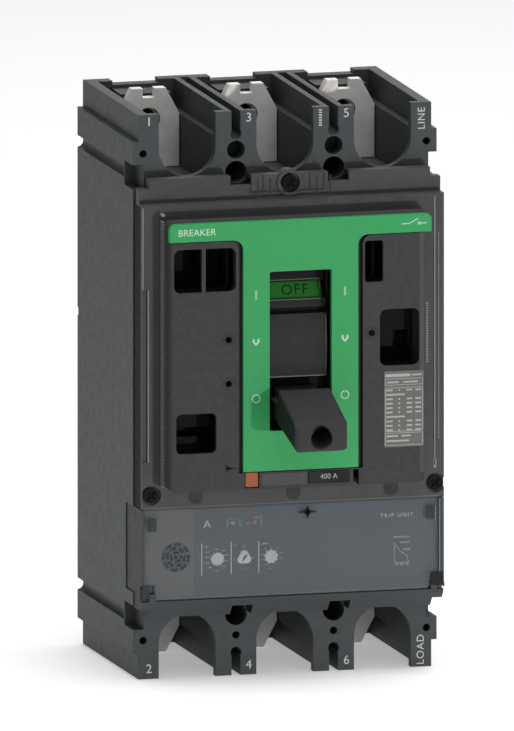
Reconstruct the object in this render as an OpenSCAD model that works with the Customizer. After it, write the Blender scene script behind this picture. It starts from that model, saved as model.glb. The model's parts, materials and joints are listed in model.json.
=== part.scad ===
// Three-pole moulded case circuit breaker with a toggle handle and an electronic trip unit.
// X runs to the right seen from the front, the front faces -Y and Z is up.
// The origin is the centre of the four fixing holes on the back plane.
// A depth is a distance in front of the back plane, so depth d lies at Y = -d.

/* [Case] */
// Width over the side flanges
case_w = 140; // [139:0.5:144]
// Height over the terminal ends
case_h = 255; // [253:1:260]
// Depth of the case at the terminals
case_d = 95.5; // [95:0.5:97]
// Distance between the centre lines of two poles
pole_pitch = 45; // [45:0.5:46]

/* [Fixing and terminals] */
// Height between the two rows of fixing holes
fixing_h = 200; // [199:1:201]
// Radius of a fixing hole
fixing_r = 3.0; // [2.5:0.1:3.5]
// Height of a terminal hole above or below the centre
terminal_z = 113.5; // [112.5:0.5:114.5]
// Radius of the hole in a terminal pad
terminal_r = 5.25; // [4.2:0.05:5.5]
// Width of a terminal pad
pad_w = 28; // [24:1:28]
// Depth of the front face of a terminal pad
pad_d = 29.5; // [29:0.5:30]

/* [Front] */
// Depth of the shoulder plane of the covers
shoulder_d = 110; // [109:0.5:110.5]
// Depth of the raised panel
panel_d = 123; // [122:0.5:124]
// Half width of the raised panel
panel_x = 60.4; // [59:0.2:61]
// Half width of the handle opening
opening_x = 14.3; // [14.2:0.1:15]

/* [Handle] */
// Depth of the handle pivot
pivot_d = 42; // [41.5:0.5:42]
// Height of the handle pivot
pivot_z = 24; // [24:0.5:24.5]
// Angle of the handle below level when it is off
off_angle = 16.7; // [16:0.1:17]
// Radius of the drum about the pivot
drum_r = 75; // [74:0.2:75]

/* [Hidden] */
$fn = 48;

// A little extra so that a cut runs past the face it starts from
e = 0.5;

// Case: half sizes and the levels along Z that both ends share
flange_x = case_w / 2;
end_x = flange_x - 2.5;
end_z = case_h / 2;
flange_top_z = 115.5;
floor_z = 91.6;
cavity_x = 65;
cavity_z = 88.5;
back_t = 4;
end_back_t = 7;
plate_back_d = case_d - 4;
barrier_x = pole_pitch / 2;
fixing_z = fixing_h / 2;
groove_r = 2.6;

// Terminal wells
well_x = pad_w / 2 + 0.4;
wide_well_x = barrier_x - 4.85;
notch_r = 13.1;
notch_z = 112;
slot_half = 2.05;
keyhole_z = 117.2;

// Covers
rim_d = 107;
band_d = 104;
housing_floor_d = 98.5;
step_d = 107.7;
shelf_d = 111.5;
divider_d = 112;
bay_x = 58;
right_bay_x = 54.8;
hollow_x = 55;
skin = 2.2;
cover_x = 69.5;
cover_low_z = -48.5;
cover_top_z = 88;
band_top_z = 99.7;
panel_low_z = -39;
panel_right_x = 57.2;
panel_edge_r = 1.2;
fascia_edge_r = 0.5;
panel_top_z = 82.2;
fascia_t = 3;
column_x = 26.5;
column_low_z = -31;
bar_low_z = 74;
opening_low_z = -13;
opening_top_z = 59;
tower_x = 19.6;
tower_low_z = -31;
tower_top_z = 77.6;
corner_screw = [65.5, -42];
top_screw = [0, 95.7];

// Trip button
button_x = -22.5;
button_z = -34.65;
button_front_d = 122.6;
button_back_d = 114.5;
button_stem_r = 1.8;
stem_tip_d = 91;

// Operating mechanism
yoke_x = 16;
yoke_t = 1.8;
drum_x = 13.9;
frame_x = 19.5;
frame_t = 2;
pin_r = 2;
tip_d = 158.9;
tip_upper_r = 4.5;
tip_lower_r = 4;
tip_bore_r = 4.8;
grip_x = 12.3;
grip_upper_r = 1.4;
grip_lower_r = 4.4;
grip_d = 129;
grip_z = 6.4;
upper_slope = 19.8;
lower_slope = 13;
heel = [130.5, -11.8];
rotor_d = 34;
rotor_z = 8;
rotor_r = 14;
journal_r = 13;
rod_r = 1.5;
rod_offset = 11;
open_angle = 40;
bar_d = 80;
bar_z = -43.8;
bar_r = 2;

// Cassettes
shell_x = 14;
shell_wall = 2.5;
shell_back_d = 6;
shell_front_d = 62;
shell_low_z = -46;
shell_top_z = 62;

// Conductors
pad_t = 5;
pad_back_d = pad_d - pad_t;
conductor_x = 8;
load_step = 14;

// Trip unit
unit_x = 69.5;
unit_top_z = -48.9;
unit_low_z = -98.5;
bezel_top_z = -90.2;
bezel_d = 109.5;
face_front_d = 107;
face_t = 1.4;
window_back_d = 108.3;
window_x0 = -68.4;
window_x1 = 67.5;
hinge_d = (window_back_d + shoulder_d) / 2;
hinge_z = -88.2;
hinge_ear_r = 1.6;
hinge_pin_r = 0.8;
lug_x0 = 63.4;
lug_x1 = 66.2;
ear_x = 69.9;
dial_r = 2.6;
dial_slot_turn = [50, -55, -55];
dial_z = -72.4;
dial_x = [-34.3, -21.9, -9.5];
led_r = 1.6;
led_z = -56.4;
led_x = [-27.2, -17.0];
actuator_x = 30;
actuator_d = 86;
unit_screw = [61.8, -84];
unit_boss_d = 62.8;

// Colours
case_grey = [0.19, 0.21, 0.22];
cover_grey = [0.13, 0.13, 0.14];
fascia_green = [0.20, 0.62, 0.34];
copper = [0.80, 0.52, 0.35];
tin = [0.74, 0.74, 0.73];
steel = [0.62, 0.63, 0.65];
moulding_cream = [0.82, 0.78, 0.68];
signal_orange = [0.85, 0.42, 0.22];

// ---- Helpers ----

// A block from two corners, given as X, depth and Z
module block(x0, x1, d0, d1, z0, z1) translate([x0, -d1, z0]) cube([x1 - x0, d1 - d0, z1 - z0]);

// A flat outline in X and Z made solid between two depths
module depth(d0, d1) translate([0, -d0, 0]) rotate([90, 0, 0]) linear_extrude(d1 - d0) children();

// A flat outline in depth and Z made solid between two places along X
module across(x0, x1) translate([x0, 0, 0]) rotate([90, 0, 90]) linear_extrude(x1 - x0)
    mirror([1, 0]) children();

// A round bar or hole that runs from front to back
module round_y(x, z, r, d0, d1) translate([x, -d0, z]) rotate([90, 0, 0]) cylinder(r = r, h = d1 - d0);

// A round bar or hole that runs from side to side
module round_x(d, z, r, x0, x1) translate([x0, -d, z]) rotate([0, 90, 0]) cylinder(r = r, h = x1 - x0);

module box2(x0, z0, x1, z1) translate([x0, z0]) square([x1 - x0, z1 - z0]);

module rounded(x0, z0, x1, z1, r) {
    box2(x0 + r, z0, x1 - r, z1);
    box2(x0, z0 + r, x1, z1 - r);
    for (x = [x0 + r, x1 - r], z = [z0 + r, z1 - r]) translate([x, z]) circle(r);
}

module both_ends() {
    children();
    mirror([0, 0, 1]) children();
}

module both_sides() {
    children();
    mirror([1, 0, 0]) children();
}

module each_pole() for (n = [-1:1]) translate([n * pole_pitch, 0, 0]) children();

// Children drawn about the handle pivot, with +Y of the outline along the handle
module about_pivot(angle) translate([0, -pivot_d, pivot_z]) rotate([angle, 0, 0]) children();

// A round wire wound into a spring along Z, from z = 0
module coil_spring(r, wire_r, turns, length) {
    steps = 14;
    sides = 6;
    rings = turns * steps;
    points = [for (i = [0:rings], k = [0:sides - 1])
        let (a = 360 * i / steps, b = 360 * k / sides, q = r + wire_r * cos(b))
        [q * cos(a), q * sin(a), length * i / rings + wire_r * sin(b)]];
    walls = [for (i = [0:rings - 1], k = [0:sides - 1])
        let (m = (k + 1) % sides)
        [i * sides + k, (i + 1) * sides + k, (i + 1) * sides + m, i * sides + m]];
    first = [for (k = [0:sides - 1]) k];
    last = [for (k = [sides - 1:-1:0]) rings * sides + k];
    polyhedron(points, concat([first, last], walls));
}

// ---- Case ----

module terminal_well() {
    block(-well_x, well_x, end_back_t, plate_back_d, floor_z, flange_top_z + 0.2);
    block(-wide_well_x, wide_well_x, end_back_t, plate_back_d, flange_top_z, end_z + e);
    depth(plate_back_d - e, case_d + e) {
        translate([0, notch_z]) circle(notch_r);
        box2(-notch_r, notch_z, notch_r, end_z + e);
    }
    block(-10.7, 10.7, -e, end_back_t + e, end_z - 1.8, end_z + e);
    block(-conductor_x - 0.5, conductor_x + 0.5, pad_back_d - 0.5, pad_d + 0.5, cavity_z - e, floor_z + e);
}

module barrier_cuts() {
    round_y(barrier_x, fixing_z, fixing_r, -e, 10);
    round_y(barrier_x, fixing_z, 4.9, 9, case_d + e);
    block(barrier_x - slot_half, barrier_x + slot_half, 5, case_d + e, keyhole_z, end_z + e);
    round_y(barrier_x, keyhole_z, 2.5, 5, case_d + e);
    round_y(65.3, 110, 1.7, case_d - 12, case_d + e);
    round_y(flange_x, fixing_z, groove_r, -e, 80);
    block(65.1, flange_x + e, 81, case_d + e, 94, 105);
}

module case_base() color(case_grey) {
    difference() {
        depth(0, case_d) {
            box2(-flange_x, -flange_top_z, flange_x, flange_top_z);
            box2(-end_x, -end_z, end_x, end_z);
        }
        block(-cavity_x, cavity_x, back_t, case_d + e, -cavity_z, cavity_z);
        both_ends() each_pole() terminal_well();
        both_ends() both_sides() barrier_cuts();
        both_sides() round_y(barrier_x, 110, 4.1, case_d - 12, case_d + e);
        both_sides() round_y(barrier_x, -109.4, 1.7, case_d - 12, case_d + e);
        both_sides() block(cavity_x - e, flange_x + e, 83, case_d + e, -87.9, -49);
        both_sides() block(flange_x - 1.4, flange_x + e, -e, 1.4, 21.2, 24.8);
        // shallow rear pockets, one above the other behind each pole
        each_pole() for (z = [-66, -22, 22, 66]) block(-15, 15, -e, 1.2, z - 17, z + 17);
    }
    // ribs that the cassettes rest on
    for (z = [-36, -4, 28, 54]) block(-60, 60, back_t - 0.2, shell_back_d - 0.1, z - 1, z + 1);
    both_sides() round_y(unit_screw[0], unit_screw[1], 3, back_t - 0.2, unit_boss_d);
}

module nut_holder() difference() {
    block(-11.6, 11.6, end_back_t + 0.3, pad_back_d - 0.3, 103, 124.4);
    round_y(0, terminal_z, 4.8, end_back_t - e, pad_back_d);
    depth(15, pad_back_d) translate([0, terminal_z]) circle(r = 9.95, $fn = 6);
    block(-7.8, 7.8, end_back_t - e, 12, 106, 109);
}

module terminal_nut_holders() color(cover_grey) both_ends() each_pole() nut_holder();

module terminal_nut() difference() {
    depth(15.3, pad_back_d - 0.7) translate([0, terminal_z]) circle(r = 9.6, $fn = 6);
    round_y(0, terminal_z, 4.25, 15, pad_back_d);
}

module terminal_nuts() color(steel) both_ends() each_pole() terminal_nut();

// ---- Conductors, drawn for the line end ----

module pad() difference() {
    depth(pad_back_d, pad_d) difference() {
        polygon([[-pad_w / 2, floor_z + 0.3], [pad_w / 2, floor_z + 0.3], [pad_w / 2, 115.8],
            [7.8, end_z], [-7.8, end_z], [-pad_w / 2, 115.8]]);
        box2(-2.8, end_z - 4.2, 2.8, end_z + e);
    }
    round_y(0, terminal_z, terminal_r, pad_back_d - e, pad_d + e);
}

module line_terminal(pole) color(tin) translate([pole * pole_pitch, 0, 0]) {
    pad();
    block(-conductor_x, conductor_x, pad_back_d, pad_d, rotor_z + 16, floor_z + 1);
    block(-4, 4, pad_d - e, pad_d + 1.4, rotor_z + 17, rotor_z + 23);
}

module load_terminal(pole) color(tin) translate([pole * pole_pitch, 0, 0]) {
    mirror([0, 0, 1]) pad();
    across(-conductor_x, conductor_x) polygon([[pad_back_d, -floor_z - 1], [pad_d, -floor_z - 1],
        [pad_d, -54.5], [pad_d + load_step, -47.5], [pad_d + load_step, rotor_z - 16],
        [pad_back_d + load_step, rotor_z - 16], [pad_back_d + load_step, -45.5],
        [pad_back_d, -52.5]]);
    block(-4, 4, pad_back_d + load_step - 1.4, pad_back_d + load_step + e, rotor_z - 23, rotor_z - 17);
}

module current_transformer(pole) color([0.16, 0.25, 0.20]) translate([pole * pole_pitch, 0, 0])
    difference() {
        across(-13.2, 13.2) rounded(11, -82, 45, -57, 4);
        block(-conductor_x - 0.4, conductor_x + 0.4, pad_back_d - 0.4, pad_d + 0.4, -83, -56);
        both_sides() block(11, 14, 14, 42, -78, -61);
    }

// ---- Contact cassettes ----

// The half of a cassette on the +X side of its pole
module cassette_half() difference() {
    across(0.05, shell_x) rounded(shell_back_d, shell_low_z, shell_front_d, shell_top_z, 2);
    block(-e, shell_x - shell_wall, shell_back_d + shell_wall, shell_front_d - shell_wall,
        shell_low_z + shell_wall, shell_top_z - shell_wall);
    round_x(rotor_d, rotor_z, journal_r + 0.1, 1, shell_x + e);
    block(-e, conductor_x + 0.3, pad_back_d - 0.3, pad_d + 0.3, shell_top_z - 4, shell_top_z + e);
    block(-e, conductor_x + 0.3, pad_back_d + load_step - 2, pad_d + load_step + 0.3,
        shell_low_z - e, shell_low_z + 4);
    for (d = [36:5:56]) block(-e, 9, d, d + 2.4, shell_top_z - 4, shell_top_z + e);
    for (d = [11:5:31]) block(-e, 9, d, d + 2.4, shell_low_z - e, shell_low_z + 4);
}

module pole_shell(pole, side) color(moulding_cream) translate([pole * pole_pitch, 0, 0])
    mirror([side < 0 ? 1 : 0, 0, 0]) cassette_half();

module arc_plates(d0, z0, z1, tip_z) for (i = [0:6]) difference() {
    block(-10.8, 10.8, d0 + i * 3.2, d0 + i * 3.2 + 1.2, z0, z1);
    depth(d0, d0 + 24) polygon([[-4, tip_z], [4, tip_z], [0, (z0 + z1) / 2]]);
}

module arc_chutes(pole) color(steel) translate([pole * pole_pitch, 0, 0]) {
    arc_plates(33, 34.5, 57, 34);
    arc_plates(rotor_d - (33 - rotor_d) - 20.4, rotor_z * 2 - 57, rotor_z * 2 - 34.5, rotor_z * 2 - 34);
}

// Children stand as when the contacts are closed and are drawn open
module opened() translate([0, -rotor_d, rotor_z]) rotate([open_angle, 0, 0])
    translate([0, rotor_d, -rotor_z]) children();

module contact_rotor(pole) color([0.45, 0.20, 0.14]) translate([pole * pole_pitch, 0, 0]) opened()
    difference() {
        union() {
            round_x(rotor_d, rotor_z, rotor_r, -10.9, 10.9);
            round_x(rotor_d, rotor_z, journal_r, -13.8, 13.8);
        }
        block(-4.2, 4.2, rotor_d - 5, rotor_d + 5, rotor_z - 20, rotor_z + 20);
        for (s = [-1, 1]) round_x(rotor_d + s * rod_offset, rotor_z, rod_r, -20, 20);
    }

module moving_contact(pole) color(copper) translate([pole * pole_pitch, 0, 0]) opened() {
    block(-3.4, 3.4, rotor_d - 2.4, rotor_d + 2.4, rotor_z - 23, rotor_z + 23);
    block(-3.4, 3.4, rotor_d - 2.7, rotor_d, rotor_z + 17.5, rotor_z + 22.5);
    block(-3.4, 3.4, rotor_d, rotor_d + 2.7, rotor_z - 22.5, rotor_z - 17.5);
}

module rotor_rods() color(steel) opened() for (s = [-1, 1])
    round_x(rotor_d + s * rod_offset, rotor_z, rod_r, -59.5, 59.5);

// ---- Operating mechanism ----

module handle_yoke() color(steel) {
    both_sides() about_pivot(off_angle) difference() {
        across(yoke_x, yoke_x + yoke_t) {
            circle(5);
            translate([0, -4]) square([62, 8]);
        }
        round_x(0, 0, pin_r, yoke_x - e, yoke_x + yoke_t + e);
    }
    about_pivot(off_angle) block(-yoke_x - yoke_t, yoke_x + yoke_t, 59.5, 62, -4, 4);
}

module yoke_pivot_pins() color(steel) both_sides()
    round_x(pivot_d, pivot_z, pin_r - 0.05, yoke_x - 1, frame_x + frame_t);

module mechanism_frame() color(steel) {
    both_sides() difference() {
        across(frame_x, frame_x + frame_t) difference() {
            polygon([[30, -20], [70, -47.3], [84.5, -47.3], [86.5, -29], [94, -29], [94, 60], [84, 70],
                [30, 62]]);
            translate([rotor_d, rotor_z]) circle(14.2);
        }
        round_x(pivot_d, pivot_z, pin_r, frame_x - e, frame_x + frame_t + e);
        round_x(bar_d, bar_z, bar_r + 0.08, frame_x - e, frame_x + frame_t + e);
    }
    round_x(66, 58, 2, -frame_x - 0.2, frame_x + 0.2);
}

module main_springs() color(steel) for (x = [-7, 7]) translate([x, 0, 0])
    about_pivot(off_angle + 90) translate([0, 0, 26]) coil_spring(4.2, 0.8, 9, 32);

module toggle_links() color(steel) both_sides() opened() difference() {
    across(23, 25) {
        translate([rotor_d, rotor_z]) circle(14);
        polygon([[rotor_d + 2, rotor_z + 13], [rotor_d + 13, rotor_z + 2], [rotor_d + 25, rotor_z + 13],
            [rotor_d + 22, rotor_z + 18]]);
    }
    round_x(rotor_d, rotor_z, 8, 22, 26);
    for (s = [-1, 1]) round_x(rotor_d + s * rod_offset, rotor_z, rod_r, 22, 26);
}

// Arc-shaped strip about the pivot, drawn in depth and Z
module arc_strip(r0, r1, a0, a1) difference() {
    intersection() {
        circle(r1);
        polygon([[0, 0], for (a = [a0, (a0 + a1) / 2, a1]) [r1 * 1.5 * cos(a), r1 * 1.5 * sin(a)]]);
    }
    circle(r0);
}

module handle_shield() color(cover_grey) translate([0, -pivot_d, pivot_z]) difference() {
    union() {
        across(-drum_x, drum_x) {
            arc_strip(drum_r - 2.5, drum_r, -11, 11);
            arc_strip(drum_r - 7.5, drum_r - 4, -63.5, 31);
            arc_strip(drum_r - 4.5, drum_r - 1.2, 13.2, 16.2);
            arc_strip(drum_r - 4.5, drum_r - 1.2, 22.6, 26.2);
        }
        both_sides() across(drum_x - 1.5, drum_x) arc_strip(drum_r - 5, drum_r, -11, 11);
        both_sides() across(drum_x, yoke_x) arc_strip(drum_r - 12.7, drum_r - 8, -24, -9);
        both_sides() across(12.4, drum_x) arc_strip(drum_r - 12.7, drum_r - 4, -24, -9);
    }
    rotate([off_angle, 0, 0]) block(-9.4, 9.4, drum_r - 20, drum_r + 5, -8.8, 1.9);
}

module flag(angle) translate([0, -pivot_d, pivot_z]) across(-12.6, 12.6)
    arc_strip(drum_r - 3.9, drum_r - 2.6, angle - 3.1, angle + 3.1);

module off_flag() color(fascia_green) flag(19.4);

module on_flag() color([0.75, 0.14, 0.12]) flag(-53);

// Side of the grip in depth and Z, rounded at the tip, with a thin neck behind it
module grip_side() {
    upper = [tip_d - tip_upper_r, grip_z - (tip_d - tip_upper_r - grip_d) * tan(upper_slope)
        - tip_upper_r / cos(upper_slope)];
    lower = [tip_d - tip_lower_r, heel[1] - (tip_d - tip_lower_r - heel[0]) * tan(lower_slope)
        + tip_lower_r / cos(lower_slope)];
    polygon([[grip_d, grip_z], upper + tip_upper_r * [sin(upper_slope), cos(upper_slope)],
        upper + [tip_upper_r, 0], lower + [tip_lower_r, 0],
        lower - tip_lower_r * [sin(lower_slope), cos(lower_slope)], heel, [110, -6.2], [104, -5],
        [104, 0.8], [126, -0.6], [grip_d - 0.8, 1.6]]);
    translate(upper) circle(tip_upper_r);
    translate(lower) circle(tip_lower_r);
}

module grip() intersection() {
    across(-grip_x - e, grip_x + e) difference() {
        grip_side();
        translate([pivot_d, pivot_z]) circle(drum_r - 3.2);
    }
    // the long edges are rounded, the lower ones more
    translate([0, -heel[0], heel[1] - 0.02]) rotate([lower_slope, 0, 0]) depth(-40, 45)
        rounded(-grip_x, 0, grip_x, 60, grip_lower_r);
    translate([0, -grip_d, grip_z + 0.02]) rotate([upper_slope, 0, 0]) depth(-40, 45)
        rounded(-grip_x, -60, grip_x, 0, grip_upper_r);
    translate([0, 0, -40]) linear_extrude(80) intersection() {
        rounded(-grip_x, -tip_d - 0.02, grip_x, -90, 2.6);
        // the grip widens a little towards its tip
        polygon([[-11.4, -90], [-grip_x, -152], [-grip_x, -tip_d - e], [grip_x, -tip_d - e],
            [grip_x, -152], [11.4, -90]]);
    }
}

module handle() color(cover_grey) {
    difference() {
        grip();
        translate([0, -tip_d - 0.1, -11]) rotate([off_angle - 90, 0, 0]) translate([0, 0, -2])
            cylinder(r = tip_bore_r, h = 17);
    }
    about_pivot(off_angle) block(-9.2, 9.2, 62, 74, -8.6, 1.5);
}

module trip_bar() color([0.20, 0.22, 0.45]) {
    round_x(bar_d, bar_z, bar_r, -34, 40);
    // paddle in front of the push button's stem
    across(button_x - 3, -frame_x - frame_t - 0.4) polygon([[bar_d - 2, bar_z], [bar_d + 2, bar_z],
        [stem_tip_d - 0.6, -36.5], [stem_tip_d - 0.6, -32.6], [stem_tip_d - 3, -32.6],
        [stem_tip_d - 3, -36]]);
    // tail over the plunger
    across(actuator_x - 3, actuator_x + 3) box2(bar_d, bar_z - 0.4, bar_d + 9, bar_z + 1.6);
}

module trip_actuator() color(steel) difference() {
    translate([actuator_x, -actuator_d, -78]) cylinder(r = 8, h = 25);
    translate([actuator_x, -actuator_d, -74]) cylinder(r = 2.1, h = 22);
}

module trip_plunger() color(tin) translate([actuator_x, -actuator_d, 0]) {
    translate([0, 0, -66]) cylinder(r = 2, h = 19.5);
    translate([0, 0, -48.3]) cylinder(r = 3.2, h = 1.8);
}

// ---- Covers ----

module front_housing() color(cover_grey) {
    difference() {
        block(-cover_x, cover_x, case_d + 0.1, rim_d - 0.1, cover_low_z, cover_top_z);
        block(-cover_x + 2.4, cover_x - 2.4, housing_floor_d, rim_d + e, cover_low_z + 2.2,
            cover_top_z - 2.2);
        block(-tower_x, tower_x, case_d - e, rim_d, tower_low_z, tower_top_z);
        round_y(button_x, button_z, button_stem_r + 0.3, case_d - e, rim_d);
        both_sides() round_y(corner_screw[0], corner_screw[1], 1.9, case_d - e, rim_d);
    }
    difference() {
        block(-64.5, 64.5, case_d + 0.1, housing_floor_d - 0.1, cover_top_z - 0.2, band_top_z - 0.6);
        both_sides() round_y(barrier_x, fixing_z, 5.2, case_d - e, housing_floor_d + e);
        round_y(top_screw[0], top_screw[1], 1.9, case_d - e, housing_floor_d + e);
    }
    difference() {
        depth(housing_floor_d - 0.2, 117.6) difference() {
            box2(-tower_x - 2, tower_low_z - 1.4, tower_x + 2, tower_top_z + 2);
            box2(-tower_x, tower_low_z, tower_x, tower_top_z);
        }
        // clearance for the push button and its spring
        block(-26, -19, housing_floor_d + 0.1, 118, -38.5, -30.9);
    }
    // dividers of the accessory compartments
    for (x = [-42.6, -31]) block(x - 0.7, x + 0.7, housing_floor_d - 0.2, divider_d, 26, 78);
    block(35.4, 37.0, housing_floor_d - 0.2, divider_d, 46, 78);
    for (z = [-1, 26]) block(-bay_x, -22, housing_floor_d - 0.2, step_d, z - 0.8, z + 0.8);
    // shelves under the two upper windows
    block(-bay_x, -22, housing_floor_d - 0.2, shelf_d, 48.2, 51);
    block(22, right_bay_x, housing_floor_d - 0.2, shelf_d, 49.4, 52.2);
    // stepped back of the lower right window, with its square socket
    block(36, right_bay_x, housing_floor_d - 0.2, step_d, 27.5, 44);
    for (x = [[36, 46.3], [53.2, right_bay_x]])
        block(x[0], x[1], housing_floor_d - 0.2, step_d, 20.2, 27.6);
    block(36, right_bay_x, housing_floor_d - 0.2, shelf_d - 0.5, 9, 13.6);
    // stepped back of the lower left window
    block(-bay_x, -38, housing_floor_d - 0.2, step_d, -12.2, -5.5);
    block(-bay_x, -43, housing_floor_d - 0.2, step_d, -24, -16.4);
    block(-bay_x, -46, step_d - 0.2, 110, -24, -20.4);
    // bosses for the two lower cover screws
    both_sides() difference() {
        round_y(corner_screw[0] - 2.2, corner_screw[1] + 1, 3.6, housing_floor_d - 0.2, rim_d);
        round_y(corner_screw[0], corner_screw[1], 1.9, case_d - e, rim_d + e);
        block(corner_screw[0] + 1.6, 71, case_d, 111, -48, -36);
    }
}

// Rounds the upright front edges of what stands as far forward as the raised panel
module front_edges(right_x, r) intersection() {
    translate([0, 0, -panel_x]) linear_extrude(panel_x * 3)
        rounded(-panel_x, -panel_d, right_x, -shoulder_d + 8, r);
    children();
}

// The T of the fascia: a bar along the top of the panel and a column below it
module tee() {
    box2(-panel_x, bar_low_z, panel_x, bar_low_z + 3);
    rounded(-panel_x, bar_low_z, panel_x, panel_top_z, 2.8);
    box2(-column_x, column_low_z, column_x, bar_low_z + 3);
    for (s = [-1, 1]) difference() {
        translate([s * (column_x + 2.3), bar_low_z - 2.3]) square(4.6, center = true);
        translate([s * (column_x + 4.6), bar_low_z - 4.6]) circle(4.6);
    }
}

// The recess the T lies in, with a groove on each side of the column
module tee_recess(groove) {
    box2(-panel_x - e, bar_low_z - 0.3, panel_x + e, panel_top_z + e);
    box2(-column_x - groove, column_low_z - 0.4, column_x + groove, bar_low_z + 3);
    for (s = [-1, 1]) difference() {
        translate([s * (column_x + groove + 2), bar_low_z - 2.3]) square(4, center = true);
        translate([s * (column_x + groove + 4), bar_low_z - 4.3]) circle(4);
    }
}

// The windows of the accessory cover as X, Z corners and a corner radius
windows = [[-58.4, 51.1, -29.9, 70.7, 3], [-57.4, -21.7, -38.9, -3.7, 2.5], [29.6, 52.3, 38.0, 71.0, 1.2],
    [36.5, 14.1, 54.7, 39.7, 3.2]];

// Small inspection holes of the accessory cover
small_holes = [[-33.2, 29.1], [-33.2, 9.2], [32.7, 29.3]];

module accessory_cover() color(cover_grey) difference() {
    union() {
        depth(rim_d, shoulder_d) box2(-cover_x, cover_low_z, cover_x, cover_top_z + 0.9);
        front_edges(panel_right_x, panel_edge_r) depth(shoulder_d - e, panel_d)
            rounded(-panel_x, panel_low_z, panel_right_x, panel_top_z, 3);
        // the part behind the bar of the fascia reaches as far to the right as the bar
        front_edges(panel_x, panel_edge_r) depth(shoulder_d - e, panel_d - fascia_t)
            rounded(column_x, bar_low_z + 0.6, panel_x, panel_top_z, 2.8);
        block(-64.7, 64.7, housing_floor_d, band_d, cover_top_z + 0.1, band_top_z);
        block(-69.4, 69.4, housing_floor_d, band_d, cover_top_z + 0.1, 95.5);
        block(-cover_x, cover_x, housing_floor_d, shoulder_d, cover_top_z + 0.1, cover_top_z + 0.9);
        round_y(top_screw[0], top_screw[1], 6, housing_floor_d, band_d + 1);
    }
    depth(rim_d - e, shoulder_d - skin) box2(-67.3, cover_low_z + 2, 67.3, cover_top_z - 2.2);
    depth(rim_d - e, panel_d - fascia_t - skin) rounded(-panel_x + skin, -36.8, hollow_x, 80, 1);
    depth(rim_d, panel_d - skin) difference() {
        rounded(-panel_x + skin, -36.8, hollow_x, 80, 1);
        tee_recess(4.4);
    }
    depth(panel_d - fascia_t, panel_d + e) tee_recess(2.1);
    block(-62.6, 62.6, housing_floor_d - e, band_d - skin, cover_top_z + 0.9, 97.6);
    depth(shoulder_d, panel_d + e) difference() {
        for (w = windows) rounded(w[0], w[1], w[2], w[3], w[4]);
        box2(-45.6, 50, -43.8, 72);
    }
    for (h = small_holes) round_y(h[0], h[1], 1.4, shoulder_d, panel_d + e);
    depth(rim_d - e, panel_d + e) box2(-25.8, -38.3, -19.2, -30.9);
    depth(panel_d - 1, panel_d + e) rounded(3.4, -37.4, 22.4, -31.9, 0.4);
    depth(shoulder_d, panel_d + e) box2(24.2, -41, 26.8, -32);
    depth(shoulder_d, panel_d) rounded(-opening_x - 0.6, opening_low_z - 0.6, opening_x + 0.6,
        opening_top_z + 0.6, 1);
    both_sides() round_y(corner_screw[0], corner_screw[1], 4.5, shoulder_d - 1.2, shoulder_d + e);
    both_sides() round_y(corner_screw[0], corner_screw[1], 2.1, rim_d - e, shoulder_d);
    round_y(top_screw[0], top_screw[1], 4.5, band_d - 1, band_d + 2);
    round_y(top_screw[0], top_screw[1], 2.1, housing_floor_d - e, band_d);
    both_sides() block(barrier_x - 4.8, barrier_x + 4.8, housing_floor_d - e, band_d + e, 95.5, 101);
    block(-cover_x - e, -67, shoulder_d - 1, shoulder_d + e, -27, 51);
}

module fascia_plate() color(fascia_green) front_edges(panel_x, fascia_edge_r)
    depth(panel_d - fascia_t + 0.05, panel_d) difference() {
        tee();
        rounded(-opening_x, opening_low_z, opening_x, opening_top_z, 1);
    }

module rating_plate() color([0.55, 0.55, 0.53]) depth(panel_d + 0.02, panel_d + 0.3)
    rounded(38.3, -22.7, 56.6, 11.6, 0.8);

module amp_rating_tab() color([0.10, 0.10, 0.11]) depth(panel_d - 0.95, panel_d + 0.15)
    rounded(3.6, -37.2, 22.2, -32.1, 0.4);

module trip_button() color(signal_orange) {
    depth(button_back_d, button_front_d) rounded(button_x - 2.9, button_z - 3.25, button_x + 2.9,
        button_z + 3.25, 0.6);
    round_y(button_x, button_z, button_stem_r, stem_tip_d, button_back_d + e);
}

module trip_button_spring() color(steel) translate([button_x, -housing_floor_d - 0.7, button_z])
    rotate([90, 0, 0]) coil_spring(2.7, 0.35, 6, button_back_d - housing_floor_d - 1.4);

module screw(x, z, head_d, head_r, head_t, shank_r, length) difference() {
    union() {
        round_y(x, z, head_r, head_d - head_t, head_d);
        round_y(x, z, shank_r, head_d - length, head_d - head_t);
    }
    translate([x, -head_d, z]) rotate([0, 45, 0])
        for (s = [[head_r * 1.2, head_r / 4], [head_r / 4, head_r * 1.2]])
            cube([s[0], 1.8, s[1]], center = true);
}

module cover_screws() color(steel) {
    both_sides() screw(corner_screw[0], corner_screw[1], shoulder_d - 0.1, 3.6, 1.1, 1.7, 13.6);
    screw(top_screw[0], top_screw[1], band_d + 0.6, 3.6, 1.6, 1.7, 8.2);
}

module trip_unit_screws() color(steel) both_sides()
    screw(unit_screw[0], unit_screw[1], 67.4, 1.9, 2.2, 1.3, 4.4);

// ---- Trip unit ----

module lug_profile() box2(lug_x0, -90.6, lug_x1, -86.8);

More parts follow.
